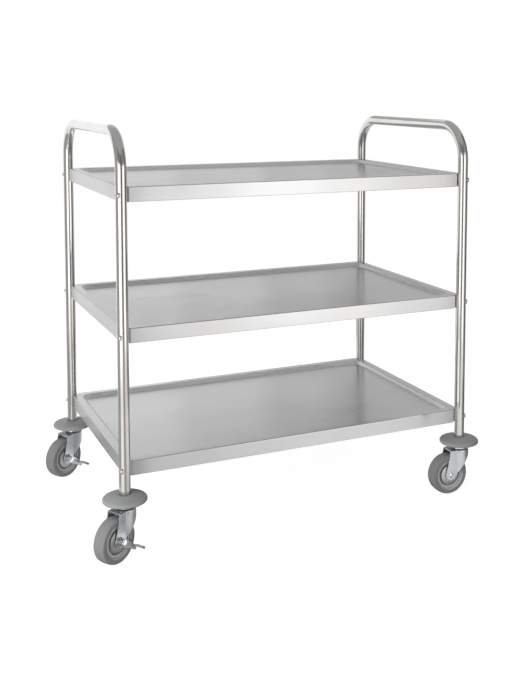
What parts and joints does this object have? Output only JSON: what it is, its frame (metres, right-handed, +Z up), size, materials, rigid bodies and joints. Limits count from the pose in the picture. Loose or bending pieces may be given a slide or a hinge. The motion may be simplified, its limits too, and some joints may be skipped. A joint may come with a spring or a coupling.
{
  "type": "service cart",
  "caption": "Tiered service cart: pressed stainless shelves bolted between bent-tube end frames, on swivel casters with round bumpers and side foot brakes.",
  "frame": {"origin": "on the floor, under the middle of the cart", "axes": "+X along the cart to its right end, +Y to the back, +Z up; the front with the braked left casters faces -Y"},
  "size_m": [1.0146, 0.6514, 0.94],
  "materials": {
    "tube_steel": "polished stainless tube",
    "shelf_steel": "satin stainless sheet",
    "bolt_steel": "polished stainless",
    "bumper_plastic": "moulded grey",
    "plug_plastic": "moulded black",
    "zinc_steel": "bright zinc plate",
    "stem_steel": "zinc plate",
    "ball_steel": "ground balls",
    "bush_steel": "turned",
    "wheel_plastic": "moulded light grey",
    "guard_steel": "bright zinc plate",
    "tyre_rubber": "non-marking grey",
    "grip_plastic": "moulded dark grey"
  },
  "bodies": {
    "frame": {"left_end_frame": "tube_steel", "right_end_frame": "tube_steel", "top_shelf": "shelf_steel", "middle_shelf": "shelf_steel", "bottom_shelf": "shelf_steel", "shelf_bolts": "bolt_steel", "shelf_nuts": "bolt_steel", "leg_plugs": "plug_plastic", "caster_stems": "stem_steel", "bumper_front_left": "bumper_plastic", "upper_race_front_left": "zinc_steel", "bumper_back_left": "bumper_plastic", "upper_race_back_left": "zinc_steel", "bumper_front_right": "bumper_plastic", "upper_race_front_right": "zinc_steel", "bumper_back_right": "bumper_plastic", "upper_race_back_right": "zinc_steel"},
    "swivel_front_left": {"fork_front_left": "zinc_steel", "race_balls_front_left": "ball_steel", "axle_bolt_front_left": "zinc_steel", "axle_nut_front_left": "zinc_steel", "axle_bush_front_left": "bush_steel"},
    "wheel_front_left": {"wheel_core_front_left": "wheel_plastic", "tyre_front_left": "tyre_rubber", "thread_guards_front_left": "guard_steel"},
    "brake_front_left": {"brake_lever_front_left": "zinc_steel", "brake_grip_front_left": "grip_plastic"},
    "swivel_back_left": {"fork_back_left": "zinc_steel", "race_balls_back_left": "ball_steel", "axle_bolt_back_left": "zinc_steel", "axle_nut_back_left": "zinc_steel", "axle_bush_back_left": "bush_steel"},
    "wheel_back_left": {"wheel_core_back_left": "wheel_plastic", "tyre_back_left": "tyre_rubber", "thread_guards_back_left": "guard_steel"},
    "brake_back_left": {"brake_lever_back_left": "zinc_steel", "brake_grip_back_left": "grip_plastic"},
    "swivel_front_right": {"fork_front_right": "zinc_steel", "race_balls_front_right": "ball_steel", "axle_bolt_front_right": "zinc_steel", "axle_nut_front_right": "zinc_steel", "axle_bush_front_right": "bush_steel"},
    "wheel_front_right": {"wheel_core_front_right": "wheel_plastic", "tyre_front_right": "tyre_rubber", "thread_guards_front_right": "guard_steel"},
    "swivel_back_right": {"fork_back_right": "zinc_steel", "race_balls_back_right": "ball_steel", "axle_bolt_back_right": "zinc_steel", "axle_nut_back_right": "zinc_steel", "axle_bush_back_right": "bush_steel"},
    "wheel_back_right": {"wheel_core_back_right": "wheel_plastic", "tyre_back_right": "tyre_rubber", "thread_guards_back_right": "guard_steel"}
  },
  "joints": [
    {"name": "front_left_swivel", "type": "hinge", "parent": "frame", "child": "swivel_front_left", "pos_m": [-0.43, -0.27, 0.112], "axis": [0, 0, 1], "continuous": true},
    {"name": "front_left_wheel_spin", "type": "hinge", "parent": "swivel_front_left", "child": "wheel_front_left", "pos_m": [-0.45883, -0.28802, 0.05], "axis": [0.5299, -0.848, 0], "continuous": true},
    {"name": "front_left_brake", "type": "hinge", "parent": "swivel_front_left", "child": "brake_front_left", "pos_m": [-0.45883, -0.28802, 0.05], "axis": [0.5299, -0.848, 0], "range_deg": [0, 10]},
    {"name": "back_left_swivel", "type": "hinge", "parent": "frame", "child": "swivel_back_left", "pos_m": [-0.43, 0.27, 0.112], "axis": [0, 0, 1], "continuous": true},
    {"name": "back_left_wheel_spin", "type": "hinge", "parent": "swivel_back_left", "child": "wheel_back_left", "pos_m": [-0.45883, 0.25198, 0.05], "axis": [0.5299, -0.848, 0], "continuous": true},
    {"name": "back_left_brake", "type": "hinge", "parent": "swivel_back_left", "child": "brake_back_left", "pos_m": [-0.45883, 0.25198, 0.05], "axis": [0.5299, -0.848, 0], "range_deg": [0, 10]},
    {"name": "front_right_swivel", "type": "hinge", "parent": "frame", "child": "swivel_front_right", "pos_m": [0.43, -0.27, 0.112], "axis": [0, 0, 1], "continuous": true},
    {"name": "front_right_wheel_spin", "type": "hinge", "parent": "swivel_front_right", "child": "wheel_front_right", "pos_m": [0.396, -0.27, 0.05], "axis": [0, -1, 0], "continuous": true},
    {"name": "back_right_swivel", "type": "hinge", "parent": "frame", "child": "swivel_back_right", "pos_m": [0.43, 0.27, 0.112], "axis": [0, 0, 1], "continuous": true},
    {"name": "back_right_wheel_spin", "type": "hinge", "parent": "swivel_back_right", "child": "wheel_back_right", "pos_m": [0.45883, 0.28802, 0.05], "axis": [-0.5299, 0.848, 0], "continuous": true}
  ]
}
